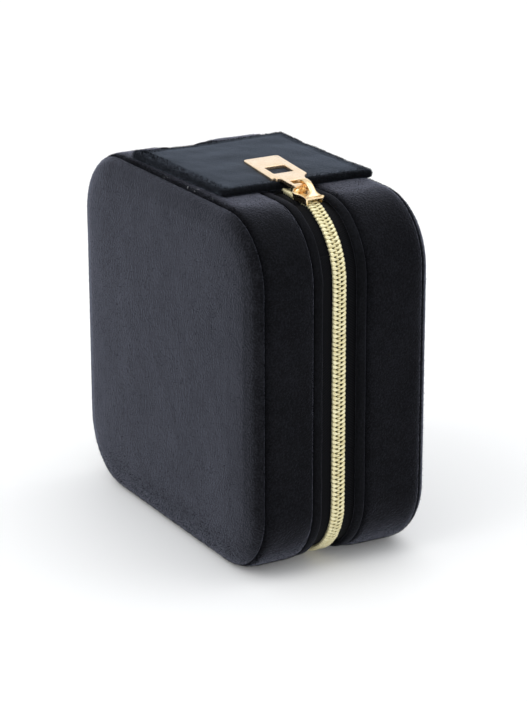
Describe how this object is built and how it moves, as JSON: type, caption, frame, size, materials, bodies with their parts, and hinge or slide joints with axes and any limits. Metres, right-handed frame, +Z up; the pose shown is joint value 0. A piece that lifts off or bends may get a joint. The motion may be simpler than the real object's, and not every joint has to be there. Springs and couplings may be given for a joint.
{
  "type": "travel jewelry case",
  "caption": "Small square padded velvet jewelry case with round corners, a gold coil zip round three sides, a hinged lid, ring rolls, dividers, a lid pocket and necklace straps.",
  "frame": {"origin": "centre of the footprint, on the surface that the case stands on", "axes": "+Z up, from the zip side to the hinge panel; +Y from the lid to the base; +X towards the side where the closed slider is parked"},
  "size_m": [0.1, 0.053, 0.1015],
  "materials": {
    "velvet_face": "short-pile velvet, blue-black with a grey-blue sheen",
    "velvet_side": "short-pile velvet, near black with a grey-blue sheen",
    "velvet_lining": "short-pile velvet lining",
    "satin": "gathered satin",
    "zip_tape": "woven twill tape",
    "zip_coil": "metallised champagne-gold nylon coil",
    "gold": "polished light-gold plating on die-cast zinc",
    "foam": "open-cell foam",
    "board": "grey board",
    "frame_plastic": "moulded"
  },
  "bodies": {
    "base": {"base_face_cover": "velvet_face", "base_face_foam": "foam", "base_face_board": "board", "base_wall_frame": "frame_plastic", "base_wall_cover": "velvet_side", "base_hem": "velvet_side", "base_wall_lining": "velvet_lining", "base_floor_lining": "velvet_lining", "base_zip_tape": "zip_tape", "base_zip_coil": "zip_coil", "hinge_panel_cover": "velvet_face", "hinge_panel_pad": "foam", "hinge_gusset": "velvet_lining", "zip_end_stops": "zip_coil", "cross_partition": "velvet_lining", "upright_partition": "velvet_lining", "ring_roll_bed": "board", "ring_roll_1": "velvet_lining", "ring_roll_2": "velvet_lining", "ring_roll_3": "velvet_lining", "ring_roll_4": "velvet_lining", "ring_roll_5": "velvet_lining", "ring_roll_6": "velvet_lining"},
    "lid": {"lid_face_cover": "velvet_face", "lid_face_foam": "foam", "lid_face_board": "board", "lid_wall_frame": "frame_plastic", "lid_wall_cover": "velvet_side", "lid_hem": "velvet_side", "lid_wall_lining": "velvet_lining", "lid_panel_lining": "velvet_lining", "lid_zip_tape": "zip_tape", "lid_zip_coil": "zip_coil", "pocket_fabric": "satin", "pocket_elastic": "satin", "strap_band": "velvet_lining", "snap_studs": "gold"},
    "slider": {"slider_body": "gold", "slider_crown": "gold"},
    "pull": {"pull_tab": "gold"},
    "front_divider": {"front_divider": "velvet_lining"},
    "rear_divider": {"rear_divider": "velvet_lining"},
    "strap_1": {"strap_1": "velvet_lining", "snap_cap_1": "gold"},
    "strap_2": {"strap_2": "velvet_lining", "snap_cap_2": "gold"},
    "strap_3": {"strap_3": "velvet_lining", "snap_cap_3": "gold"}
  },
  "joints": [
    {"name": "lid_hinge", "type": "hinge", "parent": "base", "child": "lid", "pos_m": [0, -0.0015, 0.0992], "axis": [-1, 0, 0], "range_deg": [0, 110], "deforming": ["hinge_panel_cover", "hinge_panel_pad", "hinge_gusset", "lid_zip_tape", "lid_zip_coil"]},
    {"name": "slider_travel", "type": "hinge", "parent": "base", "child": "slider", "pos_m": [0.0312, -0.0015, 0.0782], "axis": [0, 1, 0], "range_deg": [0, 86.5]},
    {"name": "pull_swivel", "type": "hinge", "parent": "slider", "child": "pull", "pos_m": [0.03099, -0.0015, 0.1], "axis": [0, 1, 0], "range_deg": [0, 165]},
    {"name": "front_divider_slide", "type": "slide", "parent": "base", "child": "front_divider", "axis": [0, -1, 0], "range_m": [0, 0.018]},
    {"name": "rear_divider_slide", "type": "slide", "parent": "base", "child": "rear_divider", "axis": [0, -1, 0], "range_m": [0, 0.018]},
    {"name": "strap_1_swing", "type": "hinge", "parent": "lid", "child": "strap_1", "pos_m": [-0.026, -0.0188, 0.014], "axis": [-1, 0, 0], "range_deg": [0, 80]},
    {"name": "strap_2_swing", "type": "hinge", "parent": "lid", "child": "strap_2", "pos_m": [0, -0.0188, 0.014], "axis": [-1, 0, 0], "range_deg": [0, 80]},
    {"name": "strap_3_swing", "type": "hinge", "parent": "lid", "child": "strap_3", "pos_m": [0.026, -0.0188, 0.014], "axis": [-1, 0, 0], "range_deg": [0, 80]}
  ]
}
